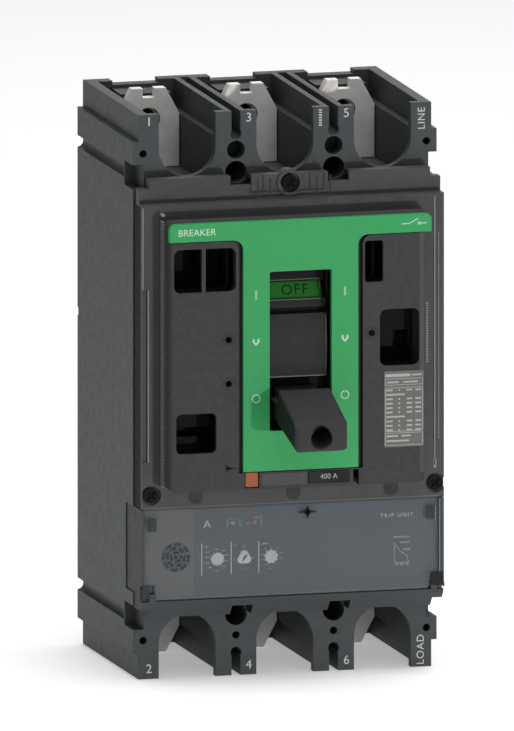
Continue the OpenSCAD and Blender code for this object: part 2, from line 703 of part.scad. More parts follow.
module trip_unit_housing() color(case_grey) {
    difference() {
        union() {
            block(-62.3, 62.3, 63, 96, -87.9, -49.2);
            block(60, 64.8, 63, 96, -87.9, -80.2);
            block(-64.8, -60, 63, 96, -87.9, -80.2);
            block(-unit_x, unit_x, case_d + 0.1, 105.5, -92, unit_top_z);
            both_sides() block(64, unit_x, 83.3, 96, -87.6, -49.3);
            across(-unit_x, unit_x) polygon([[case_d + 0.1, bezel_top_z], [bezel_d, bezel_top_z],
                [bezel_d - 0.8, bezel_top_z - 1.6], [103, unit_low_z], [case_d + 0.1, unit_low_z]]);
            block(67.8, unit_x, 105, shoulder_d, -83.6, unit_top_z);
            block(-unit_x, -68.7, 105, shoulder_d, -83.6, unit_top_z);
        }
        block(-60.3, 60.3, 65, 106, -86, -51);
        block(-64, 64, 65, 106, -86, -81);
        both_sides() block(65, unit_x + e, 94, bezel_d + e, unit_low_z - e, -94.6);
        both_sides() block(barrier_x - 4.8, barrier_x + 4.8, 94, bezel_d + e, unit_low_z - e, -94);
        both_sides() round_y(unit_screw[0], unit_screw[1], 1.6, 62, 66);
        // room for the plunger under the trip bar
        translate([actuator_x, -actuator_d, -60]) cylinder(r = 3.8, h = 12);
        both_sides() block(66.4, unit_x + e, 107.2, shoulder_d + e, -90.3, -83);
    }
    both_sides() difference() {
        depth(105, shoulder_d) lug_profile();
        round_x(hinge_d, hinge_z, hinge_pin_r, lug_x0 - e, lug_x1 + e);
    }
}

module trip_unit_face() color([0.30, 0.31, 0.32]) difference() {
    depth(face_front_d - face_t, face_front_d) difference() {
        box2(window_x0 + 0.1, bezel_top_z + 0.1, window_x1 - 0.1, unit_top_z - 0.2);
        both_sides() box2(lug_x0 - 0.3, -91, 70, -83);
    }
    for (x = dial_x) round_y(x, dial_z, dial_r + 0.4, 105, 108);
    for (x = led_x) round_y(x, led_z, led_r + 0.1, 105, 108);
}

module setting_dial(i) color([0.82, 0.82, 0.80]) difference() {
    union() {
        round_y(dial_x[i], dial_z, dial_r, 104.6, face_front_d + 0.9);
        round_y(dial_x[i], dial_z, 1.5, 99.2, 105);
    }
    translate([dial_x[i], -face_front_d - 0.9, dial_z]) rotate([0, dial_slot_turn[i], 0])
        cube([3.6, 1.2, 0.9], center = true);
}

module led(x) {
    round_y(x, led_z, led_r, 99, face_front_d);
    translate([x, -face_front_d, led_z]) sphere(r = led_r * 0.7);
}

module ready_led() color([0.2, 0.8, 0.3]) led(led_x[0]);

module alarm_led() color([0.8, 0.2, 0.15]) led(led_x[1]);

module trip_unit_circuit_board() color([0.10, 0.35, 0.20]) {
    block(-59, 59, 97, 98.6, -84.5, -52.5);
    block(-4, 12, 98.5, 100.8, -84, -62);
    block(18, 30, 98.5, 101.5, -80, -66);
    for (x = [-52, -46, 38, 44]) block(x, x + 3, 98.5, 100, -80, -60);
}

module trip_unit_window() color([0.55, 0.57, 0.60, 0.45]) difference() {
    union() {
        block(window_x0, window_x1, window_back_d, shoulder_d, hinge_z, unit_top_z - 0.1);
        round_x(hinge_d, hinge_z, (shoulder_d - window_back_d) / 2, window_x0, window_x1);
        both_sides() block(lug_x1 - 0.2, ear_x, window_back_d, shoulder_d, hinge_z, -84.2);
        both_sides() round_x(hinge_d, hinge_z, hinge_ear_r, lug_x1 + 0.4, ear_x);
    }
    both_sides() block(lug_x0 - 0.4, lug_x1 + 0.4, window_back_d - 1, shoulder_d + 1, -91, -85.9);
    both_sides() round_x(hinge_d, hinge_z, hinge_pin_r + 0.05, lug_x1, ear_x + e);
}

module window_hinge_pins() color(steel) both_sides()
    round_x(hinge_d, hinge_z, hinge_pin_r, lug_x0 + 0.2, ear_x - 0.2);

// ---- Part ----

case_base();
front_housing();
accessory_cover();
fascia_plate();
handle();
handle_shield();
off_flag();
on_flag();
handle_yoke();
yoke_pivot_pins();
main_springs();
mechanism_frame();
trip_button();
trip_button_spring();
rating_plate();
amp_rating_tab();
trip_unit_housing();
trip_unit_face();
trip_unit_window();
window_hinge_pins();
setting_dial(0);  // long_time_dial
setting_dial(1);  // short_time_dial
setting_dial(2);  // instant_dial
ready_led();
alarm_led();
trip_unit_circuit_board();
trip_actuator();
trip_plunger();
trip_bar();
current_transformer(-1);  // current_transformer_1
current_transformer(0);  // current_transformer_2
current_transformer(1);  // current_transformer_3
cover_screws();
trip_unit_screws();
line_terminal(-1);  // line_terminal_1
line_terminal(0);  // line_terminal_3
line_terminal(1);  // line_terminal_5
load_terminal(-1);  // load_terminal_2
load_terminal(0);  // load_terminal_4
load_terminal(1);  // load_terminal_6
terminal_nut_holders();
terminal_nuts();
pole_shell(-1, -1);  // pole_1_left_shell
pole_shell(-1, 1);  // pole_1_right_shell
pole_shell(0, -1);  // pole_2_left_shell
pole_shell(0, 1);  // pole_2_right_shell
pole_shell(1, -1);  // pole_3_left_shell
pole_shell(1, 1);  // pole_3_right_shell
contact_rotor(-1);  // contact_rotor_1
contact_rotor(0);  // contact_rotor_2
contact_rotor(1);  // contact_rotor_3
moving_contact(-1);  // moving_contact_1
moving_contact(0);  // moving_contact_2
moving_contact(1);  // moving_contact_3
rotor_rods();
arc_chutes(-1);  // arc_chutes_1
arc_chutes(0);  // arc_chutes_2
arc_chutes(1);  // arc_chutes_3
toggle_links();
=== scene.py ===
"""Looks for a three-pole moulded case breaker: materials, printing, ribs, studio and camera."""
import json
from math import cos, hypot, pi, radians, sin

import bmesh
import bpy
from mathutils import Matrix, Vector


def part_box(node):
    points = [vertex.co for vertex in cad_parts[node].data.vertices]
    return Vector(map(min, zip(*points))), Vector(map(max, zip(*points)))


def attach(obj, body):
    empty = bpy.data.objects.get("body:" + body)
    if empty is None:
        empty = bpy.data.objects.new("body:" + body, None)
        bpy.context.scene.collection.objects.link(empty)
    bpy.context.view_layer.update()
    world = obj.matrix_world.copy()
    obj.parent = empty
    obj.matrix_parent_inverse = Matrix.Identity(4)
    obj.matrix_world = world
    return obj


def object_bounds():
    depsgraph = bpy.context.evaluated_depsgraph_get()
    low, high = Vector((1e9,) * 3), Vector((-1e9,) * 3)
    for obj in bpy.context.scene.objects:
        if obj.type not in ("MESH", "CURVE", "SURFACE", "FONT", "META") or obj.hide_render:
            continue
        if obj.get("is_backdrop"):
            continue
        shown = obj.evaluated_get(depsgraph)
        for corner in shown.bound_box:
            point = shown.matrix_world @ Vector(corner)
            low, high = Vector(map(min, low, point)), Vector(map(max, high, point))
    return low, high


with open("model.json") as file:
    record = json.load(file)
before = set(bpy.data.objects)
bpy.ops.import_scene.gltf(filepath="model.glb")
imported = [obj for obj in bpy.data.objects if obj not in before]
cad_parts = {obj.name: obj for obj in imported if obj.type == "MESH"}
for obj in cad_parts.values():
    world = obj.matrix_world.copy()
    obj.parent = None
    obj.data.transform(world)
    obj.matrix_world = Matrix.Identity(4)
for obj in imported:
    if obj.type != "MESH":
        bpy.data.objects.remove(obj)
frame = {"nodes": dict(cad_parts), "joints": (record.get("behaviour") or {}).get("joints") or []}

cad_low, cad_high = (Vector(corner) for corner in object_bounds())

# Lengths are in mm unless a name or a comment says metres
MM = 0.001
PRINT = 0.03        # how far printing stands off the surface it is on
INK = 0.02          # thickness of a letter
SUNK = 0.01         # how far printing goes into the surface it is on
ROOT = 0.1          # how far a raised rib goes into the surface it is on


# ---------------------------------------------------------------- positions from the frame

def low(node):
    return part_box(node)[0] / MM


def high(node):
    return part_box(node)[1] / MM


PANEL_D = -low("fascia_plate").y            # depth of the raised panel and the fascia
EAR_PROUD = 0.75                            # how far the window's hinge ears stand off its face
SHOULDER_D = -low("trip_unit_window").y - EAR_PROUD         # the cover's shoulders, the window's face
CASE_D = -low("case_base").y                # depth of the case ends
FACE_D = -low("trip_unit_face").y           # depth of the trip unit's printed face
PIVOT = Vector(frame["joints"][0]["pos_m"]) / MM            # a point on the handle's axis
POLE_PITCH = 45
FLAG_R = 72.45                              # radius of the flags' outer face about the pivot
OFF_ANGLE = 19.4                            # middle of each flag, in degrees above the pivot's level
ON_ANGLE = -53
SKIN_R = 73.6                               # nearer the pivot than this the drum is painted near-black as painted shade
DIAL_NODES = ("long_time_dial", "short_time_dial", "instant_dial")


# ---------------------------------------------------------------- camera, lights and floor

# name, place and target in metres, width in metres, watts
LIGHTS = (
    ("overhead", (0.1, -0.15, 1.1), (0, -0.05, 0), 0.9, 10.5),
    ("key", (0.19, -0.80, -0.113), (0, -0.15, -0.01), 0.02, 1.7),
    ("front", (0.1, -1.6, 1.1), (0, -0.05, 0), 1.2, 2.5),
    ("side", (-1.6, -0.6, 0.35), (0, -0.05, 0), 0.9, 0.5),
    ("rear", (0.5, 1.5, 0.9), (0, -0.05, 0), 0.9, 4.0),
)
WORLD_GLOW = 0.32
FLOOR_GLOW = 0.36
FLOOR_GAP = 0.2                             # keeps the floor clear of the part's lowest faces
FLOOR_REACH = 6                             # metres


def studio():
    world = bpy.data.worlds.new("studio")
    world.use_nodes = True
    world.node_tree.nodes["Background"].inputs["Color"].default_value = (1, 1, 1, 1)
    world.node_tree.nodes["Background"].inputs["Strength"].default_value = WORLD_GLOW
    bpy.context.scene.world = world
    bpy.context.scene.view_settings.view_transform = "Standard"

    floor = bpy.data.objects.new("floor", bpy.data.meshes.new("floor"))
    shape = bmesh.new()
    bmesh.ops.create_grid(shape, x_segments=1, y_segments=1, size=FLOOR_REACH)
    shape.to_mesh(floor.data)
    floor.location.z = cad_low.z - FLOOR_GAP * MM
    floor.data.materials.append(floor_paint())
    bpy.context.scene.collection.objects.link(floor)
    floor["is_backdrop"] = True

    for name, place, target, size, power in LIGHTS:
        area_light(name, place, target, size, power)


def area_light(name, place, target, size, power):
    """A square lamp that faces its target."""
    light = bpy.data.lights.new(name, "AREA")
    light.size = size
    light.energy = power
    lamp = bpy.data.objects.new(name, light)
    lamp.location = place
    lamp.rotation_euler = (Vector(target) - Vector(place)).to_track_quat("-Z", "Y").to_euler()
    bpy.context.scene.collection.objects.link(lamp)


VIEW_TURN, VIEW_RISE = 15, 10               # degrees to the left and up
VIEW_SPAN = 0.32547                         # metres across the picture's longer side
VIEW_RIGHT, VIEW_UP, VIEW_BACK = 0.01234, -0.0048, 1.5      # metres from the origin


def camera():
    """An orthographic view from the left front, a little above level."""
    turn, rise = radians(VIEW_TURN), radians(VIEW_RISE)
    right = Vector((cos(turn), -sin(turn), 0))
    up = Vector((sin(turn) * sin(rise), cos(turn) * sin(rise), cos(rise)))
    back = Vector((-sin(turn) * cos(rise), -cos(turn) * cos(rise), sin(rise)))
    data = bpy.data.cameras.new("camera")
    data.type = "ORTHO"
    data.ortho_scale = VIEW_SPAN
    view = bpy.data.objects.new("camera", data)
    view.location = right * VIEW_RIGHT + up * VIEW_UP + back * VIEW_BACK
    view.rotation_euler = (-back).to_track_quat("-Z", "Y").to_euler()
    bpy.context.scene.collection.objects.link(view)
    bpy.context.scene.camera = view


# ---------------------------------------------------------------- materials

class Paint:
    """A Principled material with short ways to add the procedural parts that these finishes share."""

    def __init__(self, name, colour, rough, metal=0.0, specular=0.5):
        self.material = bpy.data.materials.new(name)
        self.material.use_nodes = True
        self.tree = self.material.node_tree
        self.shader = self.tree.nodes["Principled BSDF"]
        self.shader.inputs["Metallic"].default_value = metal
        self.shader.inputs["Specular IOR Level"].default_value = specular
        self.colour = (*colour, 1)
        self.rough = rough
        self.place = self.add("ShaderNodeTexCoord").outputs["Object"]
        self.socket = None
        self.normal = None

    def add(self, kind, **inputs):
        made = self.tree.nodes.new(kind)
        for name, value in inputs.items():
            made.inputs[name.replace("_", " ")].default_value = value
        return made

    def link(self, start, end):
        self.tree.links.new(start, end)

    def noise(self, size_mm, detail=2.0, stretch=None):
        """Noise whose blotches are about size_mm across; stretch squeezes or spreads it along X, Y, Z."""
        place = self.place
        if stretch:
            mapping = self.add("ShaderNodeMapping")
            mapping.inputs["Scale"].default_value = stretch
            self.link(place, mapping.inputs["Vector"])
            place = mapping.outputs["Vector"]
        made = self.add("ShaderNodeTexNoise", Scale=1 / (size_mm * MM), Detail=detail)
        self.link(place, made.inputs["Vector"])
        return made.outputs["Fac"]

    def span(self, value, low_in, high_in, low_out, high_out):
        """Maps one range of a value to another, and holds it at the ends."""
        made = self.add("ShaderNodeMapRange")
        for slot, number in zip(("From Min", "From Max", "To Min", "To Max"),
                                (low_in, high_in, low_out, high_out)):
            made.inputs[slot].default_value = number
        self.link(value, made.inputs["Value"])
        return made.outputs["Result"]

    def tint(self, amount, colour):
        """Mixes another colour in by a 0 to 1 amount."""
        mix = self.add("ShaderNodeMix")
        mix.data_type = "RGBA"
        mix.inputs[6].default_value = self.colour
        mix.inputs[7].default_value = (*colour, 1)
        if self.socket:
            self.link(self.socket, mix.inputs[6])
        self.link(amount, mix.inputs[0])
        self.socket = mix.outputs[2]

    def bump(self, height, depth_mm, strength=1.0):
        made = self.add("ShaderNodeBump", Strength=strength, Distance=depth_mm * MM)
        self.link(height, made.inputs["Height"])
        if self.normal:
            self.link(self.normal, made.inputs["Normal"])
        self.normal = made.outputs["Normal"]

    def soft_edges(self, radius_mm, colour=None, amount=0.5):
        """Rounds the look of sharp edges and, given a colour, paints them a little paler: a painted
        highlight on mouldings, rubbed wear on metal.
        """
        bevel = self.add("ShaderNodeBevel", Radius=radius_mm * MM)
        bevel.samples = 4
        self.normal = bevel.outputs["Normal"]
        if colour:
            flat = self.add("ShaderNodeNewGeometry")
            same = self.add("ShaderNodeVectorMath")
            same.operation = "DOT_PRODUCT"
            self.link(bevel.outputs["Normal"], same.inputs[0])
            self.link(flat.outputs["True Normal"], same.inputs[1])
            edge_wear_and_highlight = self.span(same.outputs["Value"], 0.995, 0.80, 0.0, amount)
            self.tint(edge_wear_and_highlight, colour)

    def shade_flanks(self, colour, amount):
        """Mixes a colour in on the faces that look to the left or right, to paint shade on them."""
        facing = self.add("ShaderNodeSeparateXYZ")
        self.link(self.add("ShaderNodeNewGeometry").outputs["True Normal"], facing.inputs["Vector"])
        sideways = self.add("ShaderNodeMath")
        sideways.operation = "ABSOLUTE"
        self.link(facing.outputs["X"], sideways.inputs[0])
        self.tint(self.span(sideways.outputs["Value"], 0.80, 0.98, 0.0, amount), colour)

    def done(self, rough_spread=0.08, rough_size=6.0):
        """Adds blotches rough_size mm across to the roughness, and links what has been built up."""
        spread = self.span(self.noise(rough_size, 3.0), 0.3, 0.7, self.rough - rough_spread,
                           self.rough + rough_spread)
        self.link(spread, self.shader.inputs["Roughness"])
        if self.socket:
            self.link(self.socket, self.shader.inputs["Base Color"])
        else:
            self.shader.inputs["Base Color"].default_value = self.colour
        if self.normal:
            self.link(self.normal, self.shader.inputs["Normal"])
        return self.material


def scaled(colour, factor):
    return tuple(min(1.0, channel * factor) for channel in colour)


def moulded(name, colour, rough=0.55, depth=0.003, edge=0.12, radius=0.35, specular=0.22, flank_shade=None):
    """Moulded plastic: fine grain, faint flow mottling and a painted highlight that makes edges paler. A
    flank shade colour paints shade on faces that look sideways."""
    paint = Paint(name, colour, rough, specular=specular)
    paint.tint(paint.span(paint.noise(18, 3.0), 0.35, 0.65, 0.0, 0.3), scaled(colour, 0.96))
    paint.tint(paint.span(paint.noise(0.9, 2.0), 0.42, 0.70, 0.0, 0.2), scaled(colour, 1.10))
    if flank_shade:
        paint.shade_flanks(flank_shade, 1.0)
    # painted highlight: the edges are painted paler
    paint.soft_edges(radius, scaled(colour, 2.1), edge)
    paint.bump(paint.noise(0.4, 2.0), depth)
    return paint.done(0.05, 3.0)


def floor_paint():
    """A pale sweep that glows a little, so that the part stands on near-white."""
    paint = Paint("floor_paint", (0.93, 0.93, 0.93), 0.8, specular=0.0)
    paint.tint(paint.span(paint.noise(400, 2.0), 0.3, 0.7, 0.0, 0.3), (0.91, 0.91, 0.91))
    paint.shader.inputs["Emission Color"].default_value = (1, 1, 1, 1)
    paint.shader.inputs["Emission Strength"].default_value = FLOOR_GLOW
    return paint.done()


def printed(name, colour, rough=0.55, alpha=1.0):
    """Flat printed ink with the slight unevenness of a pad or laser print."""
    paint = Paint(name, colour, rough, specular=0.1)
    paint.tint(paint.span(paint.noise(0.5, 3.0), 0.4, 0.75, 0.0, 0.4), scaled(colour, 0.8))
    paint.shader.inputs["Alpha"].default_value = alpha
    return paint.done()


def sheet_paint(name, colour):
    """A smooth matt foil under the window, with broad and faint clouding."""
    paint = Paint(name, colour, 0.75, specular=0.05)
    paint.tint(paint.span(paint.noise(12, 2.0), 0.4, 0.7, 0.0, 0.3), scaled(colour, 0.93))
    return paint.done()


def metal(name, colour, rough, stretch=(1, 1, 14), size=1.6, dark=0.55, share=1.0):
    """Rolled or plated metal: drawn-out brushing, soft tarnish and bright worn edges. The share is
    how metallic it is, from 0 to 1."""
    paint = Paint(name, colour, rough, metal=share)
    paint.tint(paint.span(paint.noise(7, 4.0), 0.42, 0.72, 0.0, 0.35), scaled(colour, dark))
    paint.soft_edges(0.3, scaled(colour, 1.4), 0.6)
    paint.bump(paint.noise(size, 3.0, stretch), 0.02, 0.7)
    return paint.done(0.10, 2.0)


GRAIN = 0.7                                 # pitch of the grip's grain
WAVE_UNIT = 0.314                           # scale times pitch of Blender's wave texture


def handle_paint():
    """The grip's close diamond grain over the usual moulded finish, with painted shade and a painted green
    bounce from the fascia on its flanks.
    """
    paint = Paint("handle_paint", scaled(HANDLE, 0.85), 0.65, specular=0.18)
    paint.tint(paint.span(paint.noise(9, 3.0), 0.35, 0.65, 0.0, 0.5), scaled(HANDLE, 0.88))
    # painted shade: the flanks are near-black with a green tint for the fascia's bounce light
    paint.shade_flanks((0.003, 0.007, 0.004), 0.85)
    paint.soft_edges(1.6)
    for turn in (45, -45):
        mapping = paint.add("ShaderNodeMapping")
        mapping.inputs["Rotation"].default_value = (0, 0, radians(turn))
        paint.link(paint.place, mapping.inputs["Vector"])
        wave = paint.add("ShaderNodeTexWave", Scale=WAVE_UNIT / (GRAIN * MM))
        paint.link(mapping.outputs["Vector"], wave.inputs["Vector"])
        paint.bump(wave.outputs["Fac"], 0.03, 0.7)
    paint.bump(paint.noise(0.3, 2.0), 0.006)
    return paint.done(0.05, 2.0)


def cover_paint():
    """The accessory cover's moulding, with painted light: the shoulders round the raised panel are painted
    paler than the panel's face.
    """
    paint = Paint("cover_moulding", scaled(COVER, 1.85), 0.55, specular=0.22)
    depth = paint.add("ShaderNodeSeparateXYZ")
    paint.link(paint.place, depth.inputs["Vector"])
    # painted light: paler shoulders, darker face on the raised panel
    start, end = SHOULDER_D + 5, PANEL_D - 4
    paint.tint(paint.span(depth.outputs["Y"], -start * MM, -end * MM, 0.0, 1.0), scaled(COVER, 0.88))
    paint.tint(paint.span(paint.noise(18, 3.0), 0.35, 0.65, 0.0, 0.25), scaled(COVER, 1.12))
    paint.tint(paint.span(paint.noise(0.9, 2.0), 0.42, 0.70, 0.0, 0.15), scaled(COVER, 1.3))
    # painted highlight: the edges are painted paler
    paint.soft_edges(0.35, scaled(COVER, 2.6), 0.15)
    paint.bump(paint.noise(0.4, 2.0), 0.003)
    return paint.done(0.05, 3.0)


def shield_paint():
    """The drum's moulding, with painted shade: almost black where it dips below its outer skin."""
    paint = Paint("shield_moulding", scaled(COVER, 0.85), 0.6, specular=0.15)
    paint.tint(paint.span(paint.noise(12, 3.0), 0.35, 0.65, 0.0, 0.4), scaled(COVER, 0.82))
    from_pivot = paint.add("ShaderNodeVectorMath")
    from_pivot.operation = "SUBTRACT"
    from_pivot.inputs[1].default_value = PIVOT * MM
    paint.link(paint.place, from_pivot.inputs[0])
    across = paint.add("ShaderNodeVectorMath")
    across.operation = "MULTIPLY"
    across.inputs[1].default_value = (0, 1, 1)
    paint.link(from_pivot.outputs["Vector"], across.inputs[0])
    reach = paint.add("ShaderNodeVectorMath")
    reach.operation = "LENGTH"
    paint.link(across.outputs["Vector"], reach.inputs[0])
    # painted shade: near-black below the skin radius
    recess_shade = paint.span(reach.outputs["Value"], SKIN_R * MM, (SKIN_R - 0.6) * MM, 0.0, 0.9)
    paint.tint(recess_shade, (0.006, 0.006, 0.006))
    paint.soft_edges(0.25)
    paint.bump(paint.noise(0.35, 2.0), 0.008)
    return paint.done(0.05, 3.0)


def clear_window():
    """Smoke-grey clear moulding with faint flow marks."""
    paint = Paint("clear_window", (0.10, 0.11, 0.12), 0.6, specular=0.08)
    paint.tint(paint.span(paint.noise(14, 3.0), 0.4, 0.7, 0.0, 0.4), (0.12, 0.13, 0.14))
    paint.soft_edges(0.25)
    paint.shader.inputs["Alpha"].default_value = 0.2
    return paint.done(0.05, 5.0)


def lens(name, colour):
    """The glossy cap of an indicator lamp."""
    paint = Paint(name, colour, 0.15)
    paint.tint(paint.span(paint.noise(0.8, 2.0), 0.4, 0.7, 0.0, 0.3), scaled(colour, 1.4))
    paint.shader.inputs["Coat Weight"].default_value = 0.6
    return paint.done(0.04, 1.0)


def laminate():
    """Solder-masked board with faint tracks."""
    paint = Paint("laminate", (0.012, 0.13, 0.045), 0.32)
    tracks = paint.add("ShaderNodeTexBrick", Scale=1 / (3 * MM))
    paint.link(paint.place, tracks.inputs["Vector"])
    paint.tint(paint.span(tracks.outputs["Fac"], 0.0, 1.0, 0.0, 0.6), (0.03, 0.22, 0.08))
    return paint.done(0.05, 2.0)


# Base colours, linear
CASE = (0.042, 0.047, 0.050)
COVER = (0.0265, 0.0265, 0.0265)
DARK = (0.008, 0.009, 0.010)
HANDLE = (0.034, 0.034, 0.035)
GREEN = (0.024, 0.272, 0.080)
OFF_GREEN = (0.018, 0.150, 0.020)
ORANGE = (0.275, 0.061, 0.024)
UNIT = (0.167, 0.169, 0.170)
LABEL = (0.143, 0.161, 0.180)
WHITE = (0.70, 0.71, 0.70)
PALE = (0.34, 0.35, 0.34)


def node_materials():
    """Gives every CAD node its one material."""
    steel = metal("zinc_plate", (0.52, 0.53, 0.55), 0.38)
    wire = metal("spring_wire", (0.46, 0.46, 0.48), 0.30, stretch=(1, 1, 1), size=0.8)
    tin = metal("tinned_copper", (0.74, 0.715, 0.69), 0.5, stretch=(14, 1, 1), size=2.0, dark=0.6,
                share=0.25)
    copper = metal("contact_copper", (0.78, 0.40, 0.25), 0.33)
    case = moulded("case_moulding", CASE)
    cover = cover_paint()
    shell = moulded("cassette_moulding", (0.56, 0.50, 0.38), 0.6)
    resin = moulded("transformer_resin", (0.020, 0.060, 0.045), 0.35)
    dial = moulded("dial_moulding", (0.70, 0.71, 0.71), edge=0.0, radius=0.15)
    blackened = moulded("blackened_steel", (0.005, 0.005, 0.005), 0.7, edge=0.0, specular=0.1)
    table = {
        "case_base": case,
        # painted shade: the unit housing's sideways faces are painted darker
        "trip_unit_housing": moulded("unit_moulding", scaled(CASE, 0.95), flank_shade=scaled(CASE, 0.32)),
        "front_housing": moulded("housing_moulding", DARK, 0.7, edge=0.0, specular=0.1),
        "accessory_cover": cover,
        "fascia_plate": moulded("fascia_green", GREEN, depth=0.002, edge=0.05, radius=0.25),
        "handle": handle_paint(),
        "handle_shield": shield_paint(),
        "off_flag": printed("off_green", OFF_GREEN, 0.45),
        "on_flag": printed("on_red", (0.45, 0.03, 0.02), 0.45),
        "handle_yoke": steel, "mechanism_frame": steel, "toggle_links": steel, "rotor_rods": steel,
        "yoke_pivot_pins": steel, "trip_actuator": steel, "trip_plunger": steel,
        "window_hinge_pins": blackened, "cover_screws": blackened,
        "trip_unit_screws": steel, "terminal_nuts": steel,
        "main_springs": wire, "trip_button_spring": wire,
        "trip_button": moulded("button_orange", ORANGE, 0.5, radius=0.3),
        "trip_bar": moulded("bar_blue", (0.03, 0.04, 0.15), 0.45),
        "rating_plate": printed("plate_grey", (0.120, 0.120, 0.112), 0.5),
        "amp_rating_tab": printed("tab_black", (0.010, 0.010, 0.011), 0.5),
        "trip_unit_face": moulded("unit_face", UNIT, 0.6, depth=0.001, edge=0.0),
        "trip_unit_window": clear_window(),
        "ready_led": lens("led_green", (0.22, 0.50, 0.25)),
        "alarm_led": lens("led_red", (0.60, 0.22, 0.20)),
        "trip_unit_circuit_board": laminate(),
        "terminal_nut_holders": moulded("insulator_black", DARK, 0.5),
    }
    for number in (1, 2, 3):
        table[f"current_transformer_{number}"] = resin
        table[f"contact_rotor_{number}"] = moulded(f"rotor_brown_{number}", (0.16, 0.05, 0.03), 0.5)
        table[f"moving_contact_{number}"] = copper
        table[f"arc_chutes_{number}"] = steel
        for side in ("left", "right"):
            table[f"pole_{number}_{side}_shell"] = shell
    for name in DIAL_NODES:
        table[name] = dial
    for name in frame["nodes"]:
        if name.startswith(("line_terminal", "load_terminal")):
            table[name] = tin
    for name, node in frame["nodes"].items():
        node.data.materials.clear()
        node.data.materials.append(table[name])


# ---------------------------------------------------------------- piece builders
# Outlines are lists of (x, z) in mm. Depths are mm in front of the back plane.

def finish_piece(name, shape, material, body="case"):
    """Turns a filled bmesh into a piece that rides on a body."""
    bmesh.ops.recalc_face_normals(shape, faces=shape.faces)
    mesh = bpy.data.meshes.new(name)
    shape.to_mesh(mesh)
    shape.free()
    mesh.materials.append(material)
    piece = bpy.data.objects.new(name, mesh)
    bpy.context.scene.collection.objects.link(piece)
    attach(piece, body)


def prism(shape, outline, d0, d1):
    """Adds a closed solid: an outline in X and Z between two depths."""
    back = [shape.verts.new((x * MM, -d0 * MM, z * MM)) for x, z in outline]
    front = [shape.verts.new((x * MM, -d1 * MM, z * MM)) for x, z in outline]
    shape.faces.new(back)
    shape.faces.new(front[::-1])
    count = len(outline)
    for i in range(count):
        j = (i + 1) % count
        shape.faces.new((back[i], front[i], front[j], back[j]))


def prisms(name, outlines, d0, d1, material, body="case"):
    """One piece made of several flat solids that share their depths."""
    shape = bmesh.new()
    for outline in outlines:
        prism(shape, outline, d0, d1)
    finish_piece(name, shape, material, body)


def box_line(x0, z0, x1, z1):
    """A rectangle."""
    return [(x0, z0), (x1, z0), (x1, z1), (x0, z1)]


def rounded_line(x0, z0, x1, z1, r, steps=5):
    """A rectangle with round corners."""
    centres = ((x1 - r, z1 - r, 0), (x0 + r, z1 - r, 90), (x0 + r, z0 + r, 180), (x1 - r, z0 + r, 270))
    return [(x + r * cos(radians(a + 90 * i / steps)), z + r * sin(radians(a + 90 * i / steps)))
            for x, z, a in centres for i in range(steps + 1)]


def disc_line(x, z, r, sides=24):
    """A circle."""
    return [(x + r * cos(2 * pi * i / sides), z + r * sin(2 * pi * i / sides)) for i in range(sides)]


def stroke(x0, z0, x1, z1, width):
    """A thin straight bar between two points."""
    length = hypot(x1 - x0, z1 - z0)
    dx, dz = (z0 - z1) / length * width / 2, (x1 - x0) / length * width / 2
    return [(x0 + dx, z0 + dz), (x0 - dx, z0 - dz), (x1 - dx, z1 - dz), (x1 + dx, z1 + dz)]


def ring_bars(x, z, r, width, steps=24):
    """A ring as a run of short quads."""
    quads = []
    for i in range(steps):
        a, b = (radians(360 * k / steps) for k in (i, i + 1))
        inner, outer = r - width / 2, r + width / 2
        quads.append([(x + inner * cos(a), z + inner * sin(a)), (x + outer * cos(a), z + outer * sin(a)),
                      (x + outer * cos(b), z + outer * sin(b)), (x + inner * cos(b), z + inner * sin(b))])
    return quads


def ring_prism(shape, x, z, r_in, r_out, d0, d1, sides=32):
    """Adds a closed flat ring."""
    loops = []
    for radius, depth in ((r_in, d0), (r_out, d0), (r_out, d1), (r_in, d1)):
        spots = disc_line(x, z, radius, sides)
        loops.append([shape.verts.new((px * MM, -depth * MM, pz * MM)) for px, pz in spots])
    for k in range(4):
        a, b = loops[k], loops[(k + 1) % 4]
        for i in range(sides):
            j = (i + 1) % sides
            shape.faces.new((a[i], a[j], b[j], b[i]))


CAP_SHARE = 0.70                            # height of the font's capitals, of its size


def lettering(name, words, x, z, depth, height, material, body="case", turn=0.0, align="CENTER",
              move=None, spacing=1.0):
    """Flat letters that face the front, height mm tall, centred on (x, z)."""
    data = bpy.data.curves.new(name, "FONT")
    data.body = words
    data.size = height * MM / CAP_SHARE
    data.align_x = align
    data.align_y = "CENTER"
    data.extrude = INK * MM / 2
    data.space_character = spacing
    data.materials.append(material)
    piece = bpy.data.objects.new(name, data)
    stand = Matrix.Rotation(radians(90), 4, "X") @ Matrix.Rotation(radians(turn), 4, "Z")
    place = Matrix.Translation(Vector((x, -depth - INK, z)) * MM)
    bpy.context.scene.collection.objects.link(piece)
    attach(piece, body)
    piece.matrix_world = (move or Matrix.Identity(4)) @ place @ stand


# ---------------------------------------------------------------- case and terminals

def case_marks(ink):
    """Pole numbers at both ends, the two side words and a small greeked date mark."""
    for z, numbers in ((124.2, "135"), (-123.1, "246")):
        for pole, number in enumerate(numbers):
            x = (pole - 1) * POLE_PITCH - 16.6 + (0 if pole else -1.0)
            lettering(f"pole_number_{number}", number, x, z, CASE_D, 4.0, ink)
    for word, x, z, spacing in (("LINE", 63.1, 120.3, 1.08), ("LOAD", 62.6, -119.8, 1.12)):
        lettering(f"word_{word.lower()}", word, x, z, CASE_D, 3.3, ink, turn=90,
                  spacing=spacing)
    ticks = [box_line(15.7, 119.0 + 1.15 * k, 17.1, 119.6 + 1.15 * k) for k in range(7)]
    prisms("date_mark", ticks, CASE_D - SUNK, CASE_D + PRINT, ink)


# ---------------------------------------------------------------- cover and fascia

FLANK_D = 113.6                             # depth of the teeth against the panel's left flank


